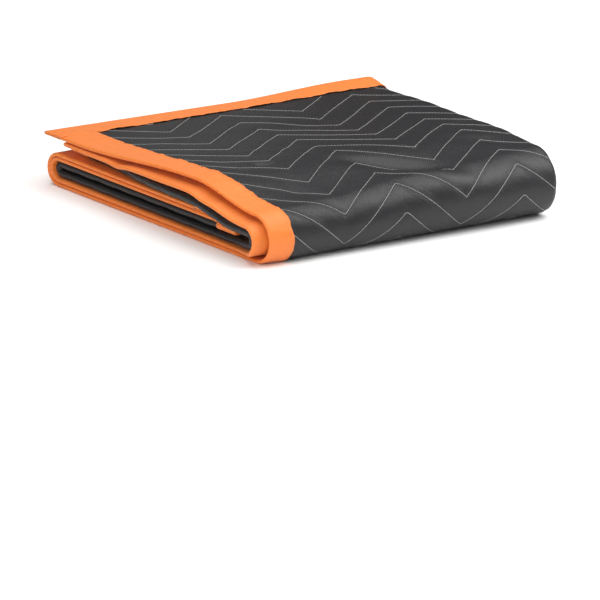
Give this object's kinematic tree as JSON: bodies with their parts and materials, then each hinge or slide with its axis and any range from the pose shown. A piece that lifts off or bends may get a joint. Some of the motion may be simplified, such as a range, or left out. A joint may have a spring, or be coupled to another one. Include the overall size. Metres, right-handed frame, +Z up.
{
  "type": "folded moving pad",
  "caption": "Quilted moving pad with an orange bound edge, folded to twelve layers, with a fine zigzag quilting in charcoal cloth.",
  "frame": {"origin": "middle of the footprint, on the surface that the pad lies on", "axes": "+Z up, +Y from the front bend to the free back edge, +X from the bound end to the creased end"},
  "size_m": [0.5654, 0.6006, 0.1113],
  "materials": {
    "quilted_cloth": "woven, matt with a soft sheen",
    "binding": "woven tape, matt"
  },
  "bodies": {
    "root": {"quilt": "quilted_cloth", "binding_side_outer": "binding", "binding_side_inner": "binding", "binding_end_top": "binding", "binding_end_inner": "binding"}
  },
  "joints": []
}
